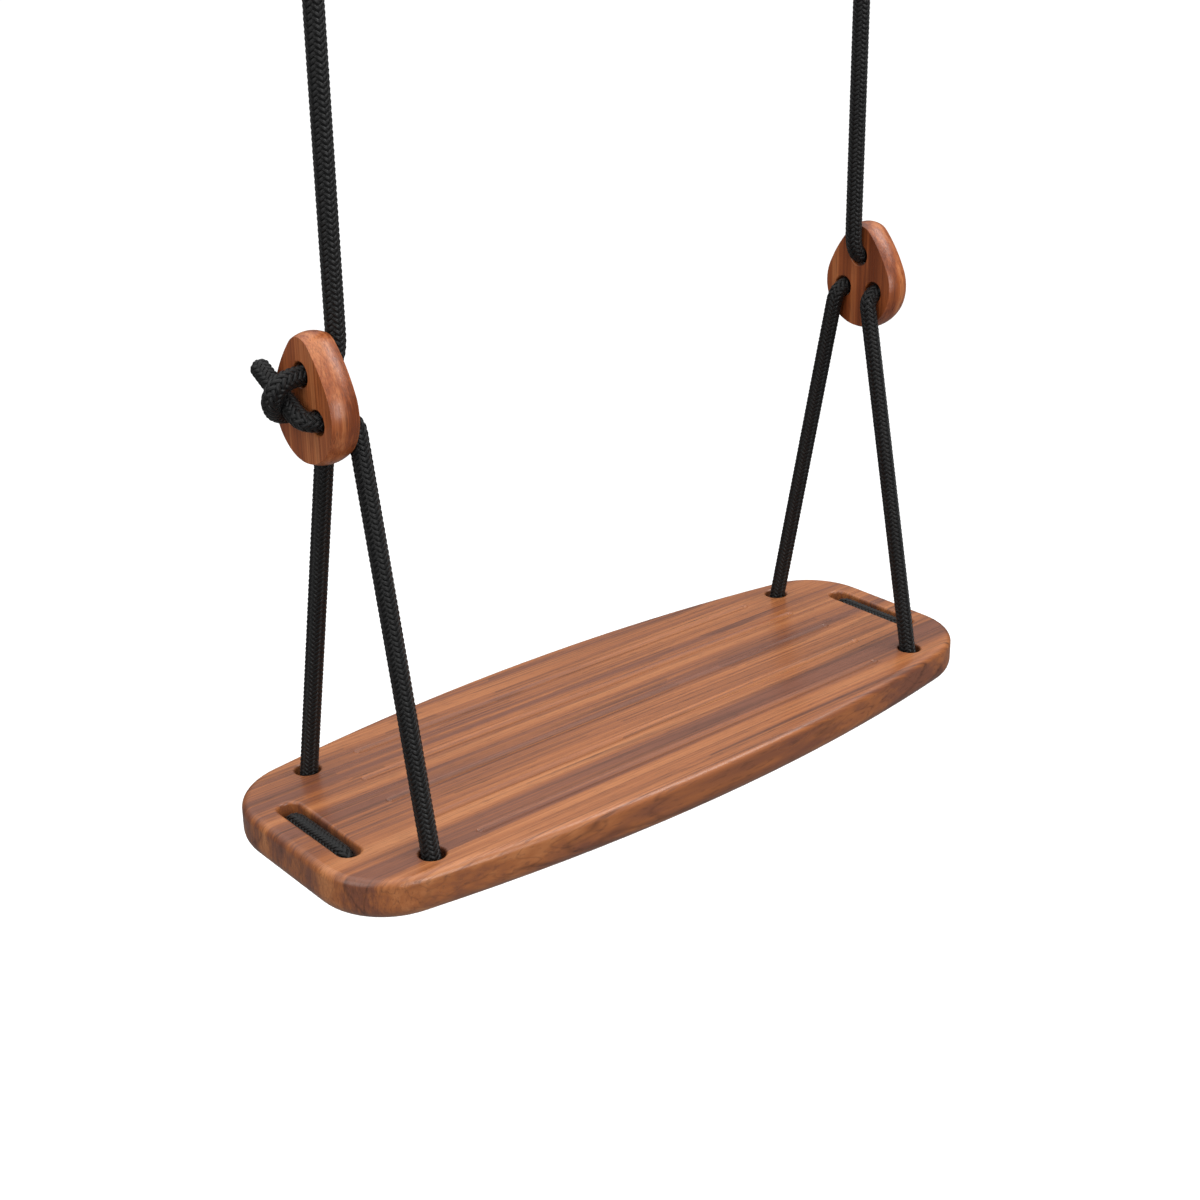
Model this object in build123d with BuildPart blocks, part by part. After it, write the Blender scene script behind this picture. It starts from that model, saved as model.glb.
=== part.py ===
"""Single-seat swing: a walnut board on two ropes, each with a wooden height adjuster, hung from two
ceiling brackets. Millimetres. +X runs along the board, +Z is up. The origin is the middle of the four
screw holes, on the ceiling. Each side is one rope: down from its eye, out through the adjuster, across
to the rear, down, under the board, up at the front, and back through the adjuster to its free tail."""
from build123d import *
from math import atan2, cos, degrees, pi, sin, sqrt
import os

os.makedirs("parts", exist_ok=True)

# ---------------------------------------------------------------- driving sizes
# board
seat_length = 633.0
seat_width = 247.0
seat_end_width = 184.0
seat_thickness = 33.0
seat_corner_radius = 59.0
seat_top_round = 6.0
seat_bottom_round = 13.0
seat_drop = 744.0           # from the ceiling to the top of the board
groove_lengths = {0: 464.0, 1: 455.0, 2: 418.0}
groove_pitch = 39.2
groove_cutter_radius = 11.0
groove_depth = 0.8
groove_end_cutter_radius = 4.6
groove_end_depth = 1.4
groove_end_inset = 2.9      # from the groove's tip to the middle of its deeper end

# rope and its way through the board
rope_diameter = 14.0
rope_span = 497.0           # between the two ropes, along the board
seat_hole_spacing = 161.0   # between the front and rear holes
seat_hole_radius = 9.5
seat_hole_round = 2.0
slot_span = 578.0
slot_length = 94.5
slot_width = 17.0
slot_round = 2.4
channel_width = 17.0
channel_depth = 15.5
channel_end_spacing = 82.0  # between the ends of the front and rear channels, at the slot
channel_cutter_radius = 8.5 # ball-nosed, run along the rope's own path

# adjusters: egg-shaped plates, standing across the board
adjuster_thickness = 21.0
adjuster_gap = 0.4          # between the rope and the plate's inner face
egg_base_height = 303.1     # centre of the wide end, above the board
egg_base_radius = 37.4
egg_tip_radius = 18.0
egg_centre_distance = 34.3
egg_side_radius = 111.0
egg_belly = 2.5             # how far the edge bulges past the flat faces
adjuster_hole_radius = 8.5
adjuster_hole_round = 1.2
upper_hole_height = 328.0
lower_hole_height = 299.3
lower_hole_spacing = 33.2

# ceiling brackets and hangers
plate_length = 100.0
plate_width = 44.0
plate_thickness = 5.0
plate_corner_radius = 8.0
screw_spacing = 72.0
screw_hole_radius = 3.5
pivot_drop = 23.0           # from the ceiling to the swing axis
ear_thickness = 4.0
ear_radius = 13.0
bolt_radius = 5.0
bolt_fit = 0.08             # running clearance round a bolt or a pin
loose_fit = 0.1
hex_across_flats = 17.0
bolt_head_height = 6.4
nut_height = 9.0
bolt_end = 2.0
washer_radius = 10.0
washer_thickness = 1.6
bush_wall = 3.0
hub_radius = 12.0
hub_length = 24.0
hub_gap = 0.6
fork_width = 24.0
fork_gap = 19.0             # between the two cheeks
cheek_thickness = 5.5
crown_thickness = 8.0
crown_gap = 3.0             # between the crown and the rope eye
neck_width = 16.0

# rope eye
pin_drop = 77.0             # from the ceiling to the pin in the rope eye
pin_radius = 5.0
pin_head_radius = 8.0
pin_head_height = 3.0
pin_end = 4.0
clip_groove_depth = 0.8
clip_thickness = 1.2
thimble_seat_radius = 14.0
thimble_flange_radius = 17.0
thimble_width = 17.0
thimble_fit = 0.3
whipping_length = 23.0
whipping_wall = 2.2
throat_drop = 52.0          # from the pin to the throat of the eye
eye_tail = 30.0             # from the throat down to the foot of the whipping

# ---------------------------------------------------------------- places worked out from them
rope_radius = rope_diameter / 2
rope_x = rope_span / 2
seat_top = -seat_drop
seat_bottom = seat_top - seat_thickness
adjuster_inner = rope_x + rope_radius + adjuster_gap
adjuster_outer = adjuster_inner + adjuster_thickness
throat_z = -pin_drop - throat_drop
crown_bottom = -pin_drop + thimble_seat_radius + rope_diameter + crown_gap
crown_top = crown_bottom + crown_thickness
fork_depth = fork_gap + 2 * cheek_thickness
ear_inner = hub_length / 2 + hub_gap
ear_outer = ear_inner + ear_thickness
washer_outer = ear_outer + washer_thickness
bush_radius = bolt_radius + bolt_fit + bush_wall
sides = {"left": -1, "right": 1}


def save(piece, name):
    piece.part.label = name
    export_step(piece.part, f"parts/{name}.step")
    print(f"{name:24s} {piece.part.volume / 1000:9.2f} cm3")


def tube(points, radii, radius):
    """A round bar along straight runs joined by tangent arcs, and the length of its middle line."""
    with BuildPart() as bar:
        with BuildLine() as path:
            if radii:
                FilletPolyline(*points, radius=radii)
            else:
                Line(*points)
        with BuildSketch(Plane(origin=path.line @ 0, z_dir=path.line % 0)):
            Circle(radius)
        sweep(path=path.line)
    return bar, sum(edge.length for edge in path.edges())


def rope(name, points, radii):
    """One strand of rope, with its measures printed."""
    strand, length = tube(points, radii, rope_radius)
    share = strand.part.volume / (pi * rope_radius**2 * length)
    print(f"{name}: length {length:.1f}, radii {radii}, volume over section times length {share:.4f}")
    return strand


def under_points(s):
    """The rope's way under the board, from the rear hole up through the slot to the front hole."""
    x = s * rope_x
    return [(x, 80.5, -759.5), (x, 80.5, -769.5), (s * 289, 41, -769.5), (s * 289, 35.5, -751.5),
            (s * 289, -35.5, -751.5), (s * 289, -41, -769.5), (x, -80.5, -769.5), (x, -80.5, -759.5)]


under_radii = [9.8, 11, 12.5, 12.5, 11, 9.8]

# ---------------------------------------------------------------- seat board
half_length = seat_length / 2
half_end = seat_end_width / 2
channel_cuts = [tube(under_points(s), under_radii, channel_cutter_radius)[0].part for s in sides.values()]
with BuildPart() as seat_board:
    with BuildSketch(Plane.XY.offset(seat_bottom)):
        with BuildLine():
            ThreePointArc((-half_length, half_end), (0, seat_width / 2), (half_length, half_end))
            Line((half_length, half_end), (half_length, -half_end))
            ThreePointArc((half_length, -half_end), (0, -seat_width / 2), (-half_length, -half_end))
            Line((-half_length, -half_end), (-half_length, half_end))
        outline = make_face()
        fillet(outline.vertices(), seat_corner_radius)
    extrude(amount=seat_thickness)
    fillet(seat_board.faces().sort_by(Axis.Z)[-1].edges(), seat_top_round)
    fillet(seat_board.faces().sort_by(Axis.Z)[0].edges(), seat_bottom_round)
    # holes for the falling strands, with rounded rims on top
    with BuildSketch(Plane.XY.offset(seat_top)):
        with GridLocations(rope_span, seat_hole_spacing, 2, 2):
            Circle(seat_hole_radius)
        with GridLocations(slot_span, 0, 2, 1):
            SlotOverall(slot_length, slot_width, rotation=90)
    extrude(amount=-seat_thickness, mode=Mode.SUBTRACT)
    rims = seat_board.faces().sort_by(Axis.Z)[-1].inner_wires()
    hole_rims = [rim for rim in rims if rim.length < 2 * slot_length]
    slot_rims = [rim for rim in rims if rim.length > 2 * slot_length]
    fillet([edge for rim in hole_rims for edge in rim.edges()], seat_hole_round)
    fillet([edge for rim in slot_rims for edge in rim.edges()], slot_round)
    # channels under the board, from each hole to the end of its slot
    hole_y = seat_hole_spacing / 2
    with BuildSketch(Plane.XY.offset(seat_bottom)):
        for x_sign in (-1, 1):
            for y_sign in (-1, 1):
                hole = Vector(x_sign * rope_x, y_sign * hole_y)
                slot_end = Vector(x_sign * slot_span / 2, y_sign * channel_end_spacing / 2)
                middle = (hole + slot_end) * 0.5
                along = slot_end - hole
                with Locations(middle):
                    SlotCenterToCenter(along.length, channel_width, rotation=degrees(atan2(along.Y, along.X)))
    extrude(amount=channel_depth, mode=Mode.SUBTRACT)
    for cut in channel_cuts:
        add(cut, mode=Mode.SUBTRACT)
    # five shallow round-ended grooves along the top, a little deeper at each end
    groove_z = seat_top + groove_cutter_radius - groove_depth
    groove_half_width = sqrt(groove_cutter_radius**2 - (groove_cutter_radius - groove_depth)**2)
    for row in (-2, -1, 0, 1, 2):
        groove_y = row * groove_pitch
        groove_end = groove_lengths[abs(row)] / 2 - groove_half_width
        with Locations((0, groove_y, groove_z)):
            Cylinder(groove_cutter_radius, 2 * groove_end, rotation=(0, 90, 0), mode=Mode.SUBTRACT)
        with Locations((-groove_end, groove_y, groove_z), (groove_end, groove_y, groove_z)):
            Sphere(groove_cutter_radius, mode=Mode.SUBTRACT)
        deep_x = groove_lengths[abs(row)] / 2 - groove_end_inset
        deep_z = seat_top + groove_end_cutter_radius - groove_end_depth
        with Locations((-deep_x, groove_y, deep_z), (deep_x, groove_y, deep_z)):
            Sphere(groove_end_cutter_radius, mode=Mode.SUBTRACT)
save(seat_board, "seat_board")


# ---------------------------------------------------------------- adjuster outline
def egg(inset):
    """The adjuster's outline: a wide circle and a tip circle joined by two long tangent arcs."""
    to_base = egg_side_radius - egg_base_radius
    to_tip = egg_side_radius - egg_tip_radius
    rise = (to_base**2 - to_tip**2 + egg_centre_distance**2) / (2 * egg_centre_distance)
    reach = sqrt(to_base**2 - rise**2)
    low = atan2(-rise, reach)
    high = atan2(egg_centre_distance - rise, reach)
    base, tip, side = egg_base_radius - inset, egg_tip_radius - inset, egg_side_radius - inset

    def on_side(angle, sign):
        return (sign * (side * cos(angle) - reach), rise + side * sin(angle))

    with BuildSketch() as outline:
        with BuildLine():
            ThreePointArc(on_side(low, -1), (0, -base), on_side(low, 1))
            ThreePointArc(on_side(low, 1), on_side((low + high) / 2, 1), on_side(high, 1))
            ThreePointArc(on_side(high, 1), (0, egg_centre_distance + tip), on_side(high, -1))
            ThreePointArc(on_side(high, -1), on_side((low + high) / 2, -1), on_side(low, -1))
        make_face()
    return outline.sketch


# ---------------------------------------------------------------- each side
for side_name, s in sides.items():
    x = s * rope_x

    # bracket screwed to the ceiling: a plate with two ears
    with BuildPart() as bracket:
        with BuildSketch(Plane.XY.offset(-plate_thickness)):
            with Locations((x, 0)):
                RectangleRounded(plate_width, plate_length, plate_corner_radius)
        extrude(amount=plate_thickness)
        for ear_x in (x - ear_outer, x + ear_inner):
            with BuildSketch(Plane.YZ.offset(ear_x)):
                with Locations((0, -pivot_drop)):
                    Circle(ear_radius)
                with Locations((0, -(pivot_drop + plate_thickness) / 2)):
                    Rectangle(2 * ear_radius, pivot_drop - plate_thickness)
            extrude(amount=ear_thickness)
        with BuildSketch(Plane.YZ.offset(x - ear_outer)):
            with Locations((0, -pivot_drop)):
                Circle(bolt_radius + loose_fit)
        extrude(amount=2 * ear_outer, mode=Mode.SUBTRACT)
        with Locations((x, -screw_spacing / 2, 0), (x, screw_spacing / 2, 0)):
            Hole(screw_hole_radius, depth=plate_thickness)
    save(bracket, f"{side_name}_bracket")

    # pivot bolt, its washers and locknut
    with BuildPart() as bolt:
        with BuildSketch(Plane.YZ.offset(x + s * washer_outer)):
            with Locations((0, -pivot_drop)):
                RegularPolygon(hex_across_flats / 2, 6, major_radius=False)
        extrude(amount=s * bolt_head_height)
        with BuildSketch(Plane.YZ.offset(x + s * washer_outer)):
            with Locations((0, -pivot_drop)):
                Circle(bolt_radius)
        extrude(amount=-s * (2 * washer_outer + nut_height + bolt_end))
        chamfer(bolt.edges().filter_by(GeomType.CIRCLE).sort_by(Axis.X)[0 if s > 0 else -1], 0.8)
    save(bolt, f"{side_name}_pivot_bolt")

    with BuildPart() as washers:
        for washer_x in (x - washer_outer, x + ear_outer):
            with BuildSketch(Plane.YZ.offset(washer_x)):
                with Locations((0, -pivot_drop)):
                    Circle(washer_radius)
                    Circle(bolt_radius + loose_fit, mode=Mode.SUBTRACT)
            extrude(amount=washer_thickness)
    save(washers, f"{side_name}_washers")

    with BuildPart() as nut:
        with BuildSketch(Plane.YZ.offset(x - s * washer_outer)):
            with Locations((0, -pivot_drop)):
                RegularPolygon(hex_across_flats / 2, 6, major_radius=False)
                Circle(bolt_radius + loose_fit / 2, mode=Mode.SUBTRACT)
        extrude(amount=-s * nut_height)
    save(nut, f"{side_name}_locknut")

    with BuildPart() as bush:
        with BuildSketch(Plane.YZ.offset(x - hub_length / 2 - hub_gap / 2)):
            with Locations((0, -pivot_drop)):
                Circle(bush_radius)
                Circle(bolt_radius + bolt_fit, mode=Mode.SUBTRACT)
        extrude(amount=hub_length + hub_gap)
    save(bush, f"{side_name}_bush")

    # hanger: a hub on the pivot bolt and a fork for the rope eye
    with BuildPart() as hanger:
        with BuildSketch(Plane.YZ.offset(x - hub_length / 2)):
            with Locations((0, -pivot_drop)):
                Circle(hub_radius)
            with Locations((0, (crown_top - pivot_drop) / 2)):
                Rectangle(neck_width, -pivot_drop - crown_top)
        extrude(amount=hub_length)
        with Locations((x, 0, (crown_top + crown_bottom) / 2)):
            Box(fork_width, fork_depth, crown_thickness)
        for cheek_y in (-fork_depth / 2, fork_gap / 2):
            with BuildSketch(Plane.XZ.offset(-cheek_y)):
                with Locations((x, -pin_drop)):
                    Circle(fork_width / 2)
                with Locations((x, (crown_bottom - pin_drop) / 2)):
                    Rectangle(fork_width, crown_bottom + pin_drop)
            extrude(amount=-cheek_thickness)
        with BuildSketch(Plane.YZ.offset(x - hub_length / 2)):
            with Locations((0, -pivot_drop)):
                Circle(bush_radius)
        extrude(amount=hub_length, mode=Mode.SUBTRACT)
        with BuildSketch(Plane.XZ.offset(-fork_depth / 2)):
            with Locations((x, -pin_drop)):
                Circle(pin_radius + loose_fit / 2)
        extrude(amount=fork_depth, mode=Mode.SUBTRACT)
    save(hanger, f"{side_name}_hanger")

    # pin through the rope eye, headed at the front and clipped at the rear
    clip_y = fork_depth / 2 + loose_fit
    with BuildPart() as pin:
        with BuildSketch(Plane.XZ.offset(fork_depth / 2)):
            with Locations((x, -pin_drop)):
                Circle(pin_head_radius)
        extrude(amount=pin_head_height)
        with BuildSketch(Plane.XZ.offset(fork_depth / 2)):
            with Locations((x, -pin_drop)):
                Circle(pin_radius)
        extrude(amount=-(fork_depth + pin_end))
        with BuildSketch(Plane.XZ.offset(-clip_y)):
            with Locations((x, -pin_drop)):
                Circle(pin_radius + 1)
                Circle(pin_radius - clip_groove_depth, mode=Mode.SUBTRACT)
        extrude(amount=-clip_thickness, mode=Mode.SUBTRACT)
    save(pin, f"{side_name}_eye_pin")

    with BuildPart() as clip:
        with BuildSketch(Plane.XZ.offset(-clip_y)):
            with Locations((x, -pin_drop)):
                Circle(pin_head_radius)
                Circle(pin_radius - clip_groove_depth, mode=Mode.SUBTRACT)
            with Locations((x, -pin_drop - pin_head_radius / 2)):
                Rectangle(pin_radius, pin_head_radius, mode=Mode.SUBTRACT)
        extrude(amount=-clip_thickness)
    save(clip, f"{side_name}_pin_clip")

    # grooved thimble that turns on the pin
    groove_radius = rope_radius + thimble_fit
    groove_centre = thimble_seat_radius + rope_radius
    lip = sqrt(groove_radius**2 - (groove_centre - thimble_flange_radius)**2)
    half_width = thimble_width / 2
    with BuildPart() as thimble:
        with BuildSketch(Plane(origin=(x, 0, -pin_drop), x_dir=(0, 1, 0), z_dir=(1, 0, 0))):
            with BuildLine():
                Polyline((-lip, thimble_flange_radius), (-half_width, thimble_flange_radius),
                         (-half_width, pin_radius + bolt_fit), (half_width, pin_radius + bolt_fit),
                         (half_width, thimble_flange_radius), (lip, thimble_flange_radius))
                ThreePointArc((lip, thimble_flange_radius), (0, groove_centre - groove_radius),
                              (-lip, thimble_flange_radius))
            make_face()
        revolve(axis=Axis((x, 0, -pin_drop), (0, 1, 0)))
    save(thimble, f"{side_name}_thimble")

    # wooden adjuster with three rope holes
    egg_z = seat_top + egg_base_height
    with BuildPart() as adjuster:
        for depth, inset in ((0, egg_belly), (adjuster_thickness / 2, 0), (adjuster_thickness, egg_belly)):
            face_x = s * (adjuster_inner + depth)
            with BuildSketch(Plane(origin=(face_x, 0, egg_z), x_dir=(0, 1, 0), z_dir=(1, 0, 0))):
                add(egg(inset))
        loft()
        upper = seat_top + upper_hole_height
        lower = seat_top + lower_hole_height
        with BuildSketch(Plane.YZ.offset(s * adjuster_inner)):
            with Locations((0, upper), (-lower_hole_spacing / 2, lower), (lower_hole_spacing / 2, lower)):
                Circle(adjuster_hole_radius)
        extrude(amount=s * adjuster_thickness, mode=Mode.SUBTRACT)
        rims = [rim for face in adjuster.faces().filter_by(GeomType.PLANE) for rim in face.inner_wires()]
        fillet([edge for rim in rims for edge in rim.edges()], adjuster_hole_round)
    save(adjuster, f"{side_name}_adjuster")

    # ---------------------------------------------------------------- rope, strand by strand
    # eye round the thimble, with the standing part running into the whipping
    with BuildPart() as eye:
        for side_x in (x - 21, x + 21):
            with BuildLine() as half_loop:
                FilletPolyline((x, 0, -159), (x, 0, -129), (side_x, 0, -81.4), (side_x, 0, -56), (x, 0, -56),
                               radius=[30, 20.9, 20.9])
            with BuildSketch(Plane(origin=half_loop.line @ 0, z_dir=half_loop.line % 0)):
                Circle(rope_radius)
            sweep(path=half_loop.line)
    save(eye, f"{side_name}_rope_eye")

    with BuildPart() as whipping:
        with BuildSketch(Plane.XY.offset(throat_z - eye_tail)):
            with Locations((x, 0)):
                Circle(rope_radius + whipping_wall)
                Circle(rope_radius + loose_fit / 2, mode=Mode.SUBTRACT)
        extrude(amount=whipping_length)
    save(whipping, f"{side_name}_whipping")

    upper_rope = rope("upper", [(x, 0, -159), (x, 0, -394)], [])
    save(upper_rope, f"{side_name}_rope_upper")

    cross_rope = rope("cross", [(x, 0, -394), (x, 0, -416), (s * 297.5, -1.5, -417.5),
                                (s * 295.5, 14.2, -443), (s * 267.8, 16.6, -444.7)], [10, 14, 15])
    save(cross_rope, f"{side_name}_rope_cross")

    rear_rope = rope("rear", [(s * 267, 16.6, -444.7), (x, 16.6, -444.7), (x, 81, -757)], [10])
    save(rear_rope, f"{side_name}_rope_rear")

    front_rope = rope("front", [(x, -81, -757), (x, -16.6, -444.7), (s * 267, -16.6, -444.7)], [10])
    save(front_rope, f"{side_name}_rope_front")

    tail_rope = rope("tail", [(s * 267, -16.6, -444.7), (s * 284.5, -16.6, -444.7),
                              (s * 284.5, 38.8, -416.5)], [10])
    save(tail_rope, f"{side_name}_rope_tail")

    under_rope = rope("under", under_points(s), under_radii)
    save(under_rope, f"{side_name}_rope_under")
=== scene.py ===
# %% [markdown]
# # A walnut board swing on braided rope
#
# This lesson dresses a swing: a walnut board hangs on two black braided ropes, and a small wooden
# adjuster on each rope sets the height. The board, the adjusters and the metal fittings arrive as
# finished CAD pieces, one object each, in metres. They could be modelled again here, but their
# holes and fits are already right, so they only get their wood and metal. The rope is made here,
# strand by strand, because a plain tube can't show a braid.

from math import atan2, cos, pi, radians, sin

import bpy
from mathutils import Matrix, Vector


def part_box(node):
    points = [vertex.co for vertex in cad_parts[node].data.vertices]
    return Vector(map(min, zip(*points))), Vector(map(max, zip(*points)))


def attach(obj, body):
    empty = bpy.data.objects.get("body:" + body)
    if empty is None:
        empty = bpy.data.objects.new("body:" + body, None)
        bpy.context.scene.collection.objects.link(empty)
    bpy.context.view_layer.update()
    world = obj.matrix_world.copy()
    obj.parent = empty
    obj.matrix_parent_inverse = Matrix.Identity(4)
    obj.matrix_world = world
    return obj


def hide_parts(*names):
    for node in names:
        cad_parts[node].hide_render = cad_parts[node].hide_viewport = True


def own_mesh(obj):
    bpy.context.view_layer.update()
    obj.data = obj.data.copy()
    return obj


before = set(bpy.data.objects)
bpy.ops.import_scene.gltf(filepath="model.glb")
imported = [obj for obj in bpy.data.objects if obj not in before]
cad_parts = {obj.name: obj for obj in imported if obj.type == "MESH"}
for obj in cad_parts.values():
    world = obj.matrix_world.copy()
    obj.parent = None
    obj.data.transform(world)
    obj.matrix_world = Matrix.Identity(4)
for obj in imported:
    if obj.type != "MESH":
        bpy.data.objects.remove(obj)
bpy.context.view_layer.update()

# %% [markdown]
# ## Sizes the pieces share
#
# The numbers that several steps need are kept in one place. The board's own place isn't typed in:
# it is read from its box, so that the camera still finds it if the ropes get longer.

# %% Shared sizes
MM = 0.001
ROPE_RADIUS = 7 * MM
ROPE_X = 248.5 * MM
SIDES = {"left": -1, "right": 1}

board_low, board_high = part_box("seat_board")
board_top = board_high[2]
print(f"board: {board_high[0] - board_low[0]:.3f} m long, its top at z = {board_top:.3f}")

# %% [markdown]
# ## The camera
#
# A swing is shown from above one end, so that the board runs away from the viewer and both ropes
# are seen. The camera could be aimed with a Track To constraint, but two angles say the same thing
# and never tilt it sideways. A little lens shift slides the picture without turning the camera.

# %% Camera
VIEW_AZIMUTH = radians(42.3)      # clockwise from +Y, seen from above
VIEW_DROP = radians(20.1)         # how far the camera looks down
CAMERA_X, CAMERA_Y = -0.8454, -0.982
CAMERA_ABOVE_BOARD = 0.6472
SENSOR_WIDTH, FOCAL_LENGTH = 36.0, 53.72      # in millimetres, as on a real camera
SHIFT_X, SHIFT_Y = -0.0615, -0.0821

camera_data = bpy.data.cameras.new("camera")
camera_data.sensor_width = SENSOR_WIDTH
camera_data.lens = FOCAL_LENGTH
camera_data.shift_x = SHIFT_X
camera_data.shift_y = SHIFT_Y
camera = bpy.data.objects.new("camera", camera_data)
camera.location = (CAMERA_X, CAMERA_Y, board_top + CAMERA_ABOVE_BOARD)
camera.rotation_euler = (pi / 2 - VIEW_DROP, 0, -VIEW_AZIMUTH)
bpy.context.collection.objects.link(camera)
bpy.context.scene.camera = camera
towards_camera = Vector((-sin(VIEW_AZIMUTH), -cos(VIEW_AZIMUTH), 0))
print("camera at", tuple(round(v, 3) for v in camera.location))

# %% [markdown]
# ## Small helpers for node trees
#
# Both materials and Geometry Nodes are trees of nodes. Three short helpers add a node, set its
# options and inputs, and do arithmetic, so that each tree below reads like a list of steps.

# %% Node helpers
def node(tree, kind, inputs=None, **options):
    """Add a node, set its options, then link or fill its inputs."""
    made = tree.nodes.new(kind)
    for name, value in options.items():
        setattr(made, name, value)
    for key, value in (inputs or {}).items():
        if isinstance(value, bpy.types.NodeSocket):
            tree.links.new(value, made.inputs[key])
        else:
            made.inputs[key].default_value = value
    return made


def calc(tree, operation, first, second=0.0, third=0.0):
    """One arithmetic step between numbers or sockets."""
    made = node(tree, "ShaderNodeMath", {0: first, 1: second, 2: third}, operation=operation)
    return made.outputs[0]


def vector_calc(tree, operation, first, second=(0, 0, 0), scale=None):
    """One step between vectors; with scale= it multiplies a vector by a number."""
    inputs = {0: first} if scale is not None else {0: first, 1: second}
    made = node(tree, "ShaderNodeVectorMath", inputs, operation=operation)
    if scale is not None:
        tree.links.new(scale, made.inputs["Scale"])
    return made.outputs[0]


# %% A new Geometry Nodes tree
def geometry_tree(name, sockets):
    """A tree with named inputs, given as (name, kind, default)."""
    tree = bpy.data.node_groups.new(name, "GeometryNodeTree")
    tree.interface.new_socket("Geometry", in_out="OUTPUT", socket_type="NodeSocketGeometry")
    for socket_name, kind, default in sockets:
        made = tree.interface.new_socket(socket_name, in_out="INPUT", socket_type=f"NodeSocket{kind}")
        if default is not None:
            made.default_value = default
    return tree, tree.nodes.new("NodeGroupInput").outputs


def finish_tree(tree, geometry):
    """Smooth, realize and end the tree with its material."""
    smooth = node(tree, "GeometryNodeSetShadeSmooth", {"Geometry": geometry})
    real = node(tree, "GeometryNodeRealizeInstances", {"Geometry": smooth.outputs[0]})
    group_input = next(n for n in tree.nodes if n.bl_idname == "NodeGroupInput")
    dressed = node(tree, "GeometryNodeSetMaterial",
                   {"Geometry": real.outputs[0], "Material": group_input.outputs["Material"]})
    node(tree, "NodeGroupOutput", {"Geometry": dressed.outputs[0]})


def run_tree(name, tree, values, source=None):
    """Put a tree on a mesh, set its named inputs, and keep the result as a plain mesh object."""
    carrier = bpy.data.objects.new("carrier", source or bpy.data.meshes.new("carrier"))
    bpy.context.collection.objects.link(carrier)
    modifier = carrier.modifiers.new("nodes", "NODES")
    modifier.node_group = tree
    for item in tree.interface.items_tree:
        if item.in_out == "INPUT" and item.name in values:
            modifier[item.identifier] = values[item.name]
    carrier.update_tag()
    depsgraph = bpy.context.evaluated_depsgraph_get()
    mesh = bpy.data.meshes.new_from_object(carrier.evaluated_get(depsgraph))
    mesh.name = name
    bpy.data.objects.remove(carrier)
    piece = bpy.data.objects.new(name, mesh)
    bpy.context.collection.objects.link(piece)
    print(f"{name}: {len(mesh.polygons)} faces")
    return piece


# %% [markdown]
# ## Small helpers for materials
#
# Every finish here starts in the same way: a new material, its main shader, and the place on the
# object that the pattern follows. Most then turn a number into a colour, and shade tiny relief
# with a Bump node, which costs nothing next to real displacement.

# %% Material helpers
def new_material(name):
    """The material, its tree, its main shader, and the place on the object as a socket."""
    material = bpy.data.materials.new(name)
    material.use_nodes = True
    tree = material.node_tree
    where = node(tree, "ShaderNodeTexCoord").outputs["Object"]
    return material, tree, tree.nodes["Principled BSDF"], where


def colour_ramp(tree, value, stops):
    """Turn a number into a colour; stops is a list of (position, colour) from low to high."""
    ramp = node(tree, "ShaderNodeValToRGB", {"Fac": value})
    marks = ramp.color_ramp.elements
    for mark, (position, colour) in zip((marks[0], marks[1]), (stops[0], stops[-1])):
        mark.position = position
        mark.color = (*colour, 1)
    for position, colour in stops[1:-1]:
        marks.new(position).color = (*colour, 1)
    return ramp.outputs["Color"]


def relief(tree, shader, height, strength, distance):
    """Shade a height pattern as relief; distance is how high the pattern stands, in metres."""
    bump = node(tree, "ShaderNodeBump", {"Height": height, "Strength": strength, "Distance": distance})
    tree.links.new(bump.outputs["Normal"], shader.inputs["Normal"])


# %% [markdown]
# ## The rope's finish
#
# The rope is black polyester, a little glossy on the crown of each strand and silky where the light
# grazes it. An image of a braid would look flat from the side, so the strands are real shapes and
# the material only adds what is finer than a strand: the yarns along it, drawn from a number that
# runs round the strand, fine fuzz, and a slightly uneven black.

# %% Black rope material, with its noise in features per metre
YARNS_PER_STRAND = 7


def black_rope():
    material, tree, shader, where = new_material("black_rope")
    across = node(tree, "ShaderNodeAttribute", attribute_name="across").outputs["Fac"]
    yarns = calc(tree, "SINE", calc(tree, "MULTIPLY", across, 2 * pi * YARNS_PER_STRAND))
    fuzz = node(tree, "ShaderNodeTexNoise", {"Vector": where, "Scale": 1500.0, "Detail": 3.0})
    patches = node(tree, "ShaderNodeTexNoise", {"Vector": where, "Scale": 60.0, "Detail": 2.0})
    shade = calc(tree, "MULTIPLY", patches.outputs["Fac"], 0.4)
    shade = calc(tree, "MULTIPLY_ADD", fuzz.outputs["Fac"], 0.5, shade)
    black = colour_ramp(tree, shade, [(0.25, (0.0020, 0.0020, 0.0022)), (0.75, (0.0075, 0.0075, 0.0078))])
    tree.links.new(black, shader.inputs["Base Color"])
    relief(tree, shader, calc(tree, "MULTIPLY_ADD", fuzz.outputs["Fac"], 0.6, yarns), 0.35, 0.12 * MM)
    rough = calc(tree, "MULTIPLY_ADD", fuzz.outputs["Fac"], 0.2, 0.30)
    tree.links.new(rough, shader.inputs["Roughness"])
    shader.inputs["Specular IOR Level"].default_value = 0.3
    shader.inputs["Sheen Weight"].default_value = 0.04
    shader.inputs["Sheen Roughness"].default_value = 0.4
    return material


rope_black = black_rope()
print("made", rope_black.name)

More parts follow.
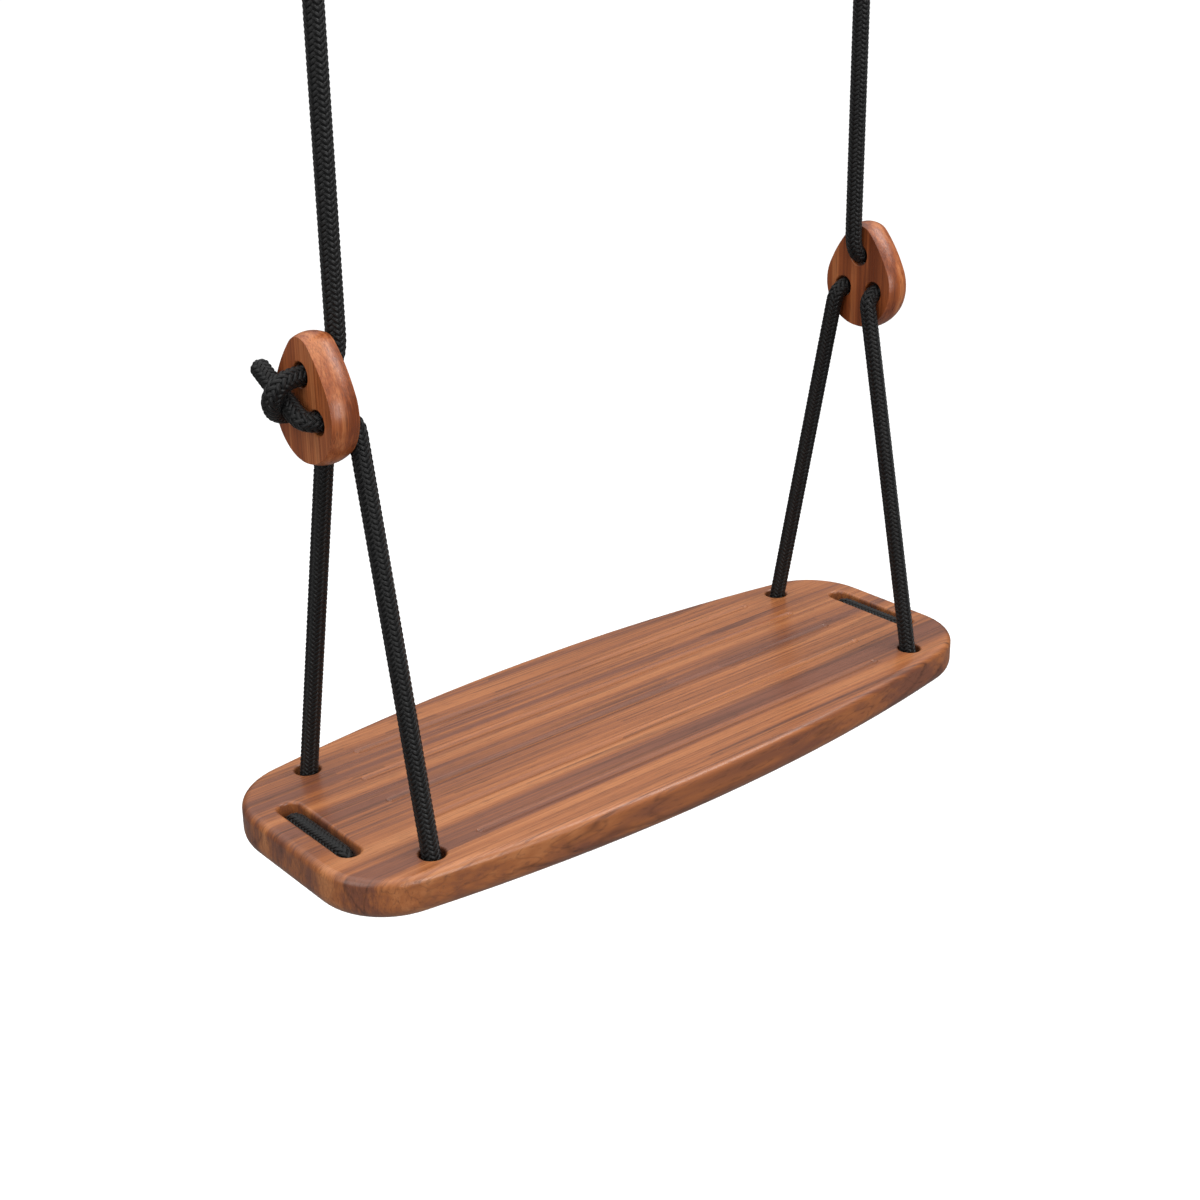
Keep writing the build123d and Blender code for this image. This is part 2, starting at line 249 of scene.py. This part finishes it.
# %% [markdown]
# ## Where the rope runs
#
# Each side is one rope. It comes down from its eye, goes out through the adjuster's top hole,
# crosses over its own tail, goes back in through the rear hole, falls to the board, passes under it
# in a channel, rises at the front, and comes out through the front hole as a short free tail. A
# tight rope is straight between the things that hold it, so each route is a handful of listed
# points, and a smooth NURBS line is drawn past them.

# %% Places along the rope
THROAT_Z = -0.159                 # the lower end of the eye
EYE_HALF_WIDTH = 0.021
KNOT_TOP_Z = -0.394               # from here down, the rope moves with the adjuster
TOP_HOLE_Z = -0.416
LOW_HOLE_Y, LOW_HOLE_Z = 0.0166, -0.4447
FALL_TOP_Y, FALL_TOP_Z = 0.0219, -0.4702
FALL_END_Y, FALL_END_Z = 0.081, -0.757        # inside the board's holes
CHANNEL_Y, CHANNEL_TOP_Z, CHANNEL_Z = 0.0805, -0.7595, -0.7695
SLOT_X, SLOT_Z = 0.289, -0.7515


# %% Rope routes
def eye_route(s):
    x = s * ROPE_X
    return [(x, 0, THROAT_Z), (x, 0, -0.129), (x + EYE_HALF_WIDTH, 0, -0.1),
            (x + EYE_HALF_WIDTH, 0, -0.056), (x - EYE_HALF_WIDTH, 0, -0.056),
            (x - EYE_HALF_WIDTH, 0, -0.1), (x - 0.004, 0, -0.128), (x - 0.002, 0, -0.138)]


def upper_route(s):
    x = s * ROPE_X
    return [(x, 0, THROAT_Z), (x, 0, -0.2765), (x, 0, KNOT_TOP_Z)]


def rear_route(s):
    x = s * ROPE_X
    return [(x, 0, KNOT_TOP_Z), (x, 0, TOP_HOLE_Z), (s * 0.2745, 0, TOP_HOLE_Z),
            (s * 0.2923, -0.0009, -0.4178), (s * 0.2987, 0.002, -0.4298), (s * 0.2898, 0.0116, -0.4423),
            (s * 0.275, LOW_HOLE_Y, -0.445), (x, LOW_HOLE_Y, LOW_HOLE_Z), (x, FALL_TOP_Y, FALL_TOP_Z),
            (x, FALL_END_Y, FALL_END_Z)]


def front_route(s):
    x = s * ROPE_X
    return [(x, -FALL_END_Y, FALL_END_Z), (x, -FALL_TOP_Y, FALL_TOP_Z), (x, -LOW_HOLE_Y, LOW_HOLE_Z),
            (s * 0.2855, -LOW_HOLE_Y, LOW_HOLE_Z), (s * 0.2855, 0.0012, -0.4356),
            (s * 0.2845, 0.0388, -0.4165)]


def under_route(s):
    x = s * ROPE_X
    in_slot = [(s * SLOT_X, y, SLOT_Z) for y in (0.0355, 0.0165, -0.0165, -0.0355)]
    return [(x, CHANNEL_Y, CHANNEL_TOP_Z), (x, CHANNEL_Y, CHANNEL_Z), (s * SLOT_X, 0.041, CHANNEL_Z),
            *in_slot, (s * SLOT_X, -0.041, CHANNEL_Z), (x, -CHANNEL_Y, CHANNEL_Z),
            (x, -CHANNEL_Y, CHANNEL_TOP_Z)]


# %% From points to a smooth line
def smooth_line(points):
    """The NURBS line past the points, as a mesh of its own points."""
    curve = bpy.data.curves.new("route", "CURVE")
    curve.dimensions = "3D"
    curve.resolution_u = 24
    spline = curve.splines.new("NURBS")
    spline.points.add(len(points) - 1)
    for place, point in zip(spline.points, points):
        place.co = (*point, 1)
    spline.order_u = 3
    spline.use_endpoint_u = True
    carrier = bpy.data.objects.new("route", curve)
    bpy.context.collection.objects.link(carrier)
    depsgraph = bpy.context.evaluated_depsgraph_get()
    mesh = bpy.data.meshes.new_from_object(carrier.evaluated_get(depsgraph))
    bpy.data.objects.remove(carrier)
    return mesh


def line_length(mesh):
    points = [v.co for v in mesh.vertices]
    return sum((b - a).length for a, b in zip(points, points[1:]))


for route in (eye_route, upper_route, rear_route, front_route, under_route):
    print(f"{route.__name__}: {line_length(smooth_line(route(1))) * 1000:.0f} mm")

# %% [markdown]
# ## Braiding the rope
#
# Sixteen flat strands wind round a core, eight each way, and each strand passes over two and under
# two. Seen from outside, that makes columns of short slanted floats that meet in arrowheads. A
# strand could be drawn once and instanced, but every stretch of rope bends its own way, so the
# tree copies the route sixteen times and moves each copy out to its own helix. A sine of the angle
# round the rope decides where a strand is on top.

# %% The braid tree
BRAID_STRANDS = 16
BRAID_COLUMNS = 8
BRAID_LAY = 30.6 * MM             # how far a strand goes along the rope in one turn
STRAND_WIDTH = 3.1 * MM
STRAND_THICKNESS = 1.8 * MM
CROWN_HEIGHT = 0.5 * MM           # how far a strand rises above the middle of the weave
CROWN_STEEPNESS = 1.8             # how fast it dives under the next ones
BRAID_STEP = 0.8 * MM             # between two points of a strand
CUT_SQUEEZE = 0.2                 # how much narrower the rope is at its cut end


def braid_tree():
    tree, given = geometry_tree("braid", [
        ("Route", "Geometry", None), ("Radius", "Float", ROPE_RADIUS), ("Lay", "Float", BRAID_LAY),
        ("Strand Width", "Float", STRAND_WIDTH), ("Strand Thickness", "Float", STRAND_THICKNESS),
        ("Crown Height", "Float", CROWN_HEIGHT), ("Step", "Float", BRAID_STEP), ("Turn", "Float", 0.0),
        ("Start", "Float", 0.0), ("Cut Length", "Float", 0.0), ("Material", "Material", None)])
    line = node(tree, "GeometryNodeMeshToCurve", {"Mesh": given["Route"]})
    even = node(tree, "GeometryNodeResampleCurve", {"Curve": line.outputs[0], "Length": given["Step"]},
                mode="LENGTH")
    copies = node(tree, "GeometryNodeDuplicateElements",
                  {"Geometry": even.outputs[0], "Amount": BRAID_STRANDS}, domain="SPLINE")
    index = copies.outputs["Duplicate Index"]
    along = node(tree, "GeometryNodeSplineParameter").outputs["Length"]
    # half of the strands wind one way and half the other
    other_way = calc(tree, "GREATER_THAN", index, BRAID_STRANDS / 2 - 0.5)
    way = calc(tree, "MULTIPLY_ADD", other_way, -2.0, 1.0)
    turns = calc(tree, "DIVIDE", calc(tree, "ADD", along, given["Start"]), given["Lay"])
    winding = calc(tree, "MULTIPLY", calc(tree, "MULTIPLY", turns, way), 2 * pi)
    spread = calc(tree, "MULTIPLY_ADD", index, 4 * pi / BRAID_STRANDS, pi / BRAID_STRANDS)
    angle = calc(tree, "ADD", winding, spread)
    # over two and under two: the columns stand still while the strands wind
    column = calc(tree, "SINE", calc(tree, "MULTIPLY", angle, BRAID_COLUMNS / 2))
    crown = calc(tree, "TANH", calc(tree, "MULTIPLY", column, CROWN_STEEPNESS))
    crown = calc(tree, "MULTIPLY", crown, way)
    rise = calc(tree, "MULTIPLY", crown, given["Crown Height"])
    # the cut end is pressed in a little
    whole = node(tree, "GeometryNodeSplineLength").outputs["Length"]
    to_end = calc(tree, "SUBTRACT", whole, along)
    near_end = calc(tree, "SUBTRACT", 1.0, calc(tree, "DIVIDE", to_end, given["Cut Length"]))
    near_end = calc(tree, "MAXIMUM", near_end, 0.0)
    squeeze = calc(tree, "MULTIPLY_ADD", calc(tree, "POWER", near_end, 2.0), -CUT_SQUEEZE, 1.0)
    middle = calc(tree, "SUBTRACT", given["Radius"], given["Crown Height"])
    middle = calc(tree, "MULTIPLY_ADD", given["Strand Thickness"], -0.5, middle)
    reach = calc(tree, "MULTIPLY", calc(tree, "ADD", middle, rise), squeeze)
    # outwards from the line, turned so that a row of arrowheads can face the viewer
    turned = calc(tree, "ADD", angle, given["Turn"])
    side = node(tree, "GeometryNodeInputNormal").outputs[0]
    tangent = node(tree, "GeometryNodeInputTangent").outputs[0]
    other = vector_calc(tree, "CROSS_PRODUCT", tangent, side)
    outward = vector_calc(tree, "ADD", vector_calc(tree, "SCALE", side, scale=calc(tree, "COSINE", turned)),
                          vector_calc(tree, "SCALE", other, scale=calc(tree, "SINE", turned)))
    kept = node(tree, "GeometryNodeStoreNamedAttribute",
                {"Geometry": copies.outputs[0], "Name": "outward", "Value": outward},
                data_type="FLOAT_VECTOR")
    offset = vector_calc(tree, "SCALE", outward, scale=reach)
    moved = node(tree, "GeometryNodeSetPosition", {"Geometry": kept.outputs[0], "Offset": offset})
    stored = node(tree, "GeometryNodeInputNamedAttribute", {"Name": "outward"}, data_type="FLOAT_VECTOR")
    faced = node(tree, "GeometryNodeSetCurveNormal",
                 {"Curve": moved.outputs[0], "Normal": stored.outputs["Attribute"]}, mode="FREE")
    # each strand is a flat ribbon with a number across it for the yarns
    ring = node(tree, "GeometryNodeCurvePrimitiveCircle", {"Resolution": 8, "Radius": 0.5})
    flat = node(tree, "ShaderNodeCombineXYZ",
                {0: given["Strand Thickness"], 1: given["Strand Width"], 2: 1.0})
    ribbon = node(tree, "GeometryNodeTransform", {"Geometry": ring.outputs[0], "Scale": flat.outputs[0]})
    share = node(tree, "GeometryNodeSplineParameter").outputs["Factor"]
    marked = node(tree, "GeometryNodeStoreNamedAttribute",
                  {"Geometry": ribbon.outputs[0], "Name": "across", "Value": share}, data_type="FLOAT")
    strands = node(tree, "GeometryNodeCurveToMesh",
                   {"Curve": faced.outputs[0], "Profile Curve": marked.outputs[0], "Fill Caps": True})
    # a plain core fills the middle
    core_radius = calc(tree, "MULTIPLY_ADD", given["Strand Thickness"], -1.2, given["Radius"])
    core_ring = node(tree, "GeometryNodeCurvePrimitiveCircle", {"Resolution": 20, "Radius": core_radius})
    core = node(tree, "GeometryNodeCurveToMesh",
                {"Curve": even.outputs[0], "Profile Curve": core_ring.outputs[0], "Fill Caps": True})
    both = node(tree, "GeometryNodeJoinGeometry")
    for part in (strands, core):
        tree.links.new(part.outputs[0], both.inputs[0])
    finish_tree(tree, both.outputs[0])
    return tree


braid = braid_tree()
print("braid tree:", len(braid.nodes), "nodes")

# %% [markdown]
# ## Laying the stretches of rope
#
# A rope that is one piece in life is five pieces here, because its parts move with different
# things: the eye and the upper rope swing with the hanger, the knot and the two falls ride with the
# adjuster, and the stretch under the board rides with the board. The braid is wound so that a row of
# arrowheads faces the viewer, as on a rope that hangs without a twist, and the piece with the knot
# carries the count on from the upper rope.

# %% Braid one stretch
def lay_rope(name, points, body, replaced, start=0.0, cut=0.0):
    """Braid along a route, make it ride on its body, and hide the CAD pieces that it replaces."""
    line = smooth_line(points)
    path = [tuple(v.co) for v in line.vertices]
    length = line_length(line)
    ahead = (Vector(path[1]) - Vector(path[0])).normalized()
    side = Vector((ahead.y, -ahead.x, 0))
    side = side.normalized() if side.length > 1e-4 else Vector((1, 0, 0))
    other = ahead.cross(side)
    turn = atan2(towards_camera.dot(other), towards_camera.dot(side))
    if ahead.z > 0:
        turn += 2 * pi / BRAID_COLUMNS        # one column on, so that the arrowheads still point up
    # a cut length of exactly zero would divide by zero in the tree
    piece = run_tree(name, braid, {"Turn": turn, "Start": start, "Cut Length": max(cut, 1e-6),
                                   "Material": rope_black}, source=line)
    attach(piece, body)
    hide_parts(*replaced)
    return piece, length


# %% [markdown]
# ## The whipping
#
# Where the eye closes, tight turns of waxed thread bind the two parts of the rope. Each turn could
# be its own ring, but real thread is one long coil, which the Spiral node draws at once.

# %% Whipping thread
THREAD_PITCH = 1.1 * MM           # from one turn to the next
THREAD_RADIUS = 0.56              # in pitches, a little over half, so that the turns touch
WHIPPING_RADIUS = 8.2 * MM
WHIPPING_HEIGHT = 23 * MM


def thread_material():
    material, tree, shader, where = new_material("whipping_thread")
    fibres = node(tree, "ShaderNodeTexNoise", {"Vector": where, "Scale": 900.0, "Detail": 4.0}).outputs["Fac"]
    waxed = colour_ramp(tree, fibres, [(0.0, (0.012, 0.011, 0.010)), (1.0, (0.040, 0.037, 0.034))])
    tree.links.new(waxed, shader.inputs["Base Color"])
    relief(tree, shader, fibres, 0.4, 0.1 * MM)
    shader.inputs["Roughness"].default_value = 0.45
    return material


def whipping_tree():
    tree, given = geometry_tree("whipping", [
        ("Radius", "Float", WHIPPING_RADIUS), ("Height", "Float", WHIPPING_HEIGHT),
        ("Pitch", "Float", THREAD_PITCH), ("Foot", "Vector", (0, 0, 0)),
        ("Material", "Material", None)])
    turns = calc(tree, "DIVIDE", given["Height"], given["Pitch"])
    coil = node(tree, "GeometryNodeCurveSpiral",
                {"Resolution": 40, "Rotations": turns, "Start Radius": given["Radius"],
                 "End Radius": given["Radius"], "Height": given["Height"]})
    ring = node(tree, "GeometryNodeCurvePrimitiveCircle",
                {"Resolution": 8, "Radius": calc(tree, "MULTIPLY", given["Pitch"], THREAD_RADIUS)})
    thread = node(tree, "GeometryNodeCurveToMesh",
                  {"Curve": coil.outputs[0], "Profile Curve": ring.outputs[0], "Fill Caps": True})
    placed = node(tree, "GeometryNodeTransform",
                  {"Geometry": thread.outputs[0], "Translation": given["Foot"]})
    finish_tree(tree, placed.outputs[0])
    return tree


thread_black = thread_material()
whipping = whipping_tree()
print(f"whipping: {WHIPPING_HEIGHT / THREAD_PITCH:.0f} turns")

# %% [markdown]
# ## Both ropes
#
# Everything above is now used twice, once on each side. When an adjuster slides up, the rope above
# it gets shorter. Real rope would pass through the knot, which a mesh can't do. Here the upper
# stretch only gets a mesh of its own.

# %% Lay both ropes
CUT_LENGTH = 2 * MM

for side_name, s in SIDES.items():
    line_body, set_body = f"{side_name}_line", f"{side_name}_adjuster_set"
    foot = upper_route(s)[0]
    binding = run_tree(f"{side_name}_whipping_coil", whipping, {"Foot": foot, "Material": thread_black})
    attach(binding, line_body)
    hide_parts(f"{side_name}_whipping")
    lay_rope(f"{side_name}_eye_braid", eye_route(s), line_body, [f"{side_name}_rope_eye"])
    upper, upper_length = lay_rope(f"{side_name}_upper_braid", upper_route(s), line_body,
                                   [f"{side_name}_rope_upper"])
    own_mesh(upper)
    lay_rope(f"{side_name}_rear_braid", rear_route(s), set_body,
             [f"{side_name}_rope_cross", f"{side_name}_rope_rear"],
             start=upper_length)
    lay_rope(f"{side_name}_front_braid", front_route(s), set_body,
             [f"{side_name}_rope_front", f"{side_name}_rope_tail"],
             cut=CUT_LENGTH)
    lay_rope(f"{side_name}_under_braid", under_route(s), "seat", [f"{side_name}_rope_under"])

# %% [markdown]
# ## Walnut
#
# Walnut is a warm red-brown with darker, slightly purple bands, fine dark lines along the grain and
# tiny open pores. A picture of wood would smear on the rounded edges. The pattern here fills space
# instead, so that a hole or an edge cuts through it as through real timber: bands on the faces
# become stripes on the ends. Noise that is stretched along the grain does nearly all of it. Three
# layers, each finer than the last, give the colour, and dark lines and pores are drawn over them.

# %% Walnut helpers
def stretched_noise(tree, where, scale, detail, shift, distortion=0.0):
    """Noise stretched to its own scale along each axis, in features per metre."""
    placed = node(tree, "ShaderNodeMapping", {"Vector": where, "Location": shift, "Scale": scale})
    return node(tree, "ShaderNodeTexNoise", {"Vector": placed.outputs[0], "Scale": 1.0, "Detail": detail,
                                             "Roughness": 0.55, "Distortion": distortion}).outputs["Fac"]


def contour(tree, value, half_width):
    """One where a noise passes its middle value, fading to zero on both sides: a fine wandering line."""
    off = calc(tree, "ABSOLUTE", calc(tree, "SUBTRACT", value, 0.5))
    return node(tree, "ShaderNodeMapRange", {"Value": off, "From Min": 0.0, "From Max": half_width,
                                             "To Min": 1.0, "To Max": 0.0}).outputs[0]


# %% Walnut material
def walnut(name, grain, face, through, growth_depth, dark, middle, light):
    """Wood with its grain along one axis (0, 1 or 2); face is the axis that its wide side looks along,
    and through says how much finer the pattern is along that axis than across."""
    material, tree, shader, where = new_material(name)

    def layer(across, along, detail, shift, distortion=0.0):
        """Noise with so many features per metre across and along the grain."""
        scale = [across, across, across]
        scale[grain] = along
        scale[face] = through * across
        return stretched_noise(tree, where, scale, detail, shift, distortion)

    bands = layer(40.0, 0.9, 1.5, (3, 1.3, 6), 0.2)
    streaks = layer(130.0, 1.8, 2.5, (5, 0, 1), 0.15)
    lines = layer(480.0, 4.5, 2.5, (2, 8, 0), 0.1)
    tone = calc(tree, "MULTIPLY_ADD", bands, 2.0, -1.60)
    tone = calc(tree, "MULTIPLY_ADD", streaks, 1.1, tone)
    tone = calc(tree, "MULTIPLY_ADD", lines, 1.0, tone)
    timber = colour_ramp(tree, tone, [(0.1, dark), (0.5, middle), (0.9, light)])

    # growth lines wander and come and go, hair lines are everywhere, pores are dashes
    growth = contour(tree, layer(100.0, 1.0, 1.0, (9, 3, 4), 0.2), 0.045)
    broken = calc(tree, "GREATER_THAN", layer(25.0, 6.0, 2.0, (1, 1, 6)), 0.47)
    hair = contour(tree, layer(240.0, 2.4, 1.0, (6, 2, 9), 0.15), 0.035)
    pores = node(tree, "ShaderNodeMapRange", {"Value": layer(1300.0, 70.0, 1.0, (4, 4, 4)),
                                              "From Min": 0.56, "From Max": 0.72}).outputs[0]
    darker = calc(tree, "MULTIPLY", calc(tree, "MULTIPLY", growth, broken), growth_depth)
    darker = calc(tree, "MULTIPLY_ADD", hair, 0.32, darker)
    darker = calc(tree, "MULTIPLY_ADD", pores, 0.34, darker)
    line_brown = [0.4 * channel for channel in dark]
    stained = node(tree, "ShaderNodeMix", {0: darker, 6: timber, 7: (*line_brown, 1)}, data_type="RGBA")
    tree.links.new(stained.outputs[2], shader.inputs["Base Color"])

    # satin finish, a little duller in the pores
    shader.inputs["Specular IOR Level"].default_value = 0.5
    rough = calc(tree, "MULTIPLY_ADD", streaks, 0.10, 0.24)
    rough = calc(tree, "MULTIPLY_ADD", pores, 0.15, rough)
    tree.links.new(rough, shader.inputs["Roughness"])
    height = calc(tree, "MULTIPLY_ADD", pores, -1.0, calc(tree, "MULTIPLY", lines, 0.35))
    relief(tree, shader, height, 0.3, 0.12 * MM)
    return material


# %% Dress the board and the adjusters
def dress(node_name, material):
    """Give a CAD piece its material, in every slot it has."""
    piece = bpy.data.objects[node_name]
    if not piece.material_slots:
        piece.data.materials.append(material)
    for slot in piece.material_slots:
        slot.material = material


seat_wood = walnut("seat_walnut", grain=0, face=2, through=0.3, growth_depth=0.5,
                   dark=(0.185, 0.066, 0.036), middle=(0.330, 0.112, 0.038), light=(0.460, 0.178, 0.066))
adjuster_wood = walnut("adjuster_walnut", grain=2, face=0, through=2.0, growth_depth=0.2,
                       dark=(0.180, 0.042, 0.013), middle=(0.340, 0.090, 0.026), light=(0.520, 0.180, 0.064))
dress("seat_board", seat_wood)
for side_name in SIDES:
    dress(f"{side_name}_adjuster", adjuster_wood)
print("wood on", 1 + len(SIDES), "pieces")

# %% [markdown]
# ## Metal and nylon
#
# The bracket, the bolt, its washers and nut, and the eye pin are zinc plated: grey, with faint
# cloudy spangle. The hanger is powder coated black, which has a fine orange-peel skin. The thimble
# and the bush are nylon. One function makes them all, because they differ only in a few numbers.

# %% Hardware materials
def hardware(name, low, high, metallic, rough_low, rough_high, cloud, skin, depth):
    """A mottled finish: low and high are its colours, cloud and skin are features per metre, and
    depth is the height of the skin's relief."""
    material, tree, shader, where = new_material(name)
    clouds = node(tree, "ShaderNodeTexVoronoi", {"Vector": where, "Scale": cloud}).outputs["Distance"]
    mottle = node(tree, "ShaderNodeTexNoise",
                  {"Vector": where, "Scale": cloud * 2.3, "Detail": 5.0}).outputs["Fac"]
    tone = calc(tree, "MULTIPLY_ADD", clouds, 0.5, calc(tree, "MULTIPLY", mottle, 0.6))
    tree.links.new(colour_ramp(tree, tone, [(0.2, low), (0.8, high)]), shader.inputs["Base Color"])
    rough = node(tree, "ShaderNodeMapRange", {"Value": mottle, "From Min": 0.3, "From Max": 0.7,
                                              "To Min": rough_low, "To Max": rough_high})
    tree.links.new(rough.outputs[0], shader.inputs["Roughness"])
    fine = node(tree, "ShaderNodeTexNoise", {"Vector": where, "Scale": skin, "Detail": 2.0})
    relief(tree, shader, fine.outputs["Fac"], 0.3, depth)
    shader.inputs["Metallic"].default_value = metallic
    return material


zinc = hardware("zinc_steel", low=(0.24, 0.25, 0.26), high=(0.44, 0.45, 0.46), metallic=1.0,
                rough_low=0.28, rough_high=0.42, cloud=120.0, skin=900.0, depth=0.06 * MM)
coated = hardware("black_steel", low=(0.010, 0.010, 0.011), high=(0.022, 0.022, 0.024), metallic=0.0,
                  rough_low=0.38, rough_high=0.5, cloud=60.0, skin=1400.0, depth=0.12 * MM)
nylon = hardware("nylon", low=(0.62, 0.60, 0.55), high=(0.74, 0.72, 0.67), metallic=0.0,
                 rough_low=0.38, rough_high=0.5, cloud=80.0, skin=700.0, depth=0.04 * MM)
finishes = {"bracket": zinc, "pivot_bolt": zinc, "washers": zinc, "locknut": zinc, "eye_pin": zinc,
            "pin_clip": zinc, "hanger": coated, "thimble": nylon, "bush": nylon}
for side_name in SIDES:
    for piece_name, finish in finishes.items():
        dress(f"{side_name}_{piece_name}", finish)
print("hardware dressed:", len(finishes) * len(SIDES), "pieces")

# %% [markdown]
# ## The floor
#
# The swing hangs in a bright, plain studio. The floor is a big pale plane well below the board. It
# takes no part in bounced light or in reflections, because a white floor would wash out the lower
# edges of the board, which are a deep brown.

# %% Floor
FLOOR_DROP = 0.55                 # from the underside of the board to the floor
FLOOR_REACH = 14.0
FLOOR_WHITE = (0.96, 0.96, 0.96, 1)

floor_z = board_low[2] - FLOOR_DROP
corners = [(x * FLOOR_REACH, y * FLOOR_REACH, floor_z) for x, y in ((-1, -1), (1, -1), (1, 1), (-1, 1))]
floor_mesh = bpy.data.meshes.new("floor")
floor_mesh.from_pydata(corners, [], [(0, 1, 2, 3)])
floor = bpy.data.objects.new("floor", floor_mesh)
bpy.context.collection.objects.link(floor)
pale = bpy.data.materials.new("pale_floor")
pale.use_nodes = True
pale_shader = pale.node_tree.nodes["Principled BSDF"]
pale_shader.inputs["Base Color"].default_value = FLOOR_WHITE
pale_shader.inputs["Roughness"].default_value = 0.9
floor_mesh.materials.append(pale)
floor.visible_diffuse = False
floor.visible_glossy = False
print("floor at z =", round(floor_z, 3))

# %% [markdown]
# ## The light
#
# Three soft lamps shape the wood: one high on the viewer's right for the rounded edges, one in front
# for the adjusters' curved rims, and one on the left for the end of the board. A bright sky lights
# the rest. It fades towards the horizon, because the top of the board mirrors the horizon and would
# look milky. The camera itself sees plain white all round.

# %% Lights
LAMPS = {                         # place and size in metres, power in watts
    "key": ((1.3, -0.9, 1.1), 1.0, 16),
    "front": ((-0.1, -2.7, -0.1), 1.5, 34),
    "fill": ((-2.3, -0.3, 0.1), 1.6, 16),
}


def soft_light(name, place, size, power):
    """A square lamp that looks at the middle of the board."""
    data = bpy.data.lights.new(name, "AREA")
    data.energy = power
    data.size = size
    lamp = bpy.data.objects.new(name, data)
    lamp.location = place
    aim = Vector((0, 0, board_top)) - Vector(place)
    lamp.rotation_euler = aim.to_track_quat("-Z", "Y").to_euler()
    bpy.context.collection.objects.link(lamp)


for lamp_name, (place, size, power) in LAMPS.items():
    soft_light(lamp_name, place, size, power)
    print(f"{lamp_name} lamp: {power} W")

# %% Sky
SKY_OVERHEAD, SKY_HORIZON, SKY_BELOW = 2.15, 0.06, 0.25
WHITE_TO_CAMERA = 1.05

world = bpy.data.worlds.new("studio")
world.use_nodes = True
backdrop = world.node_tree.nodes["Background"]
backdrop.inputs["Color"].default_value = (1, 1, 1, 1)
sky = world.node_tree
direction = node(sky, "ShaderNodeSeparateXYZ", {0: node(sky, "ShaderNodeTexCoord").outputs["Generated"]})
upward = calc(sky, "MAXIMUM", direction.outputs[2], 0.0)
downward = calc(sky, "MAXIMUM", calc(sky, "MULTIPLY", direction.outputs[2], -1.0), 0.0)
dome = calc(sky, "MULTIPLY_ADD", calc(sky, "MULTIPLY", upward, upward), SKY_OVERHEAD, SKY_HORIZON)
dome = calc(sky, "MULTIPLY_ADD", downward, SKY_BELOW, dome)
seen = calc(sky, "MULTIPLY", node(sky, "ShaderNodeLightPath").outputs["Is Camera Ray"], WHITE_TO_CAMERA)
sky.links.new(calc(sky, "MAXIMUM", dome, seen), backdrop.inputs["Strength"])
bpy.context.scene.world = world
bpy.context.scene.view_settings.view_transform = "Standard"
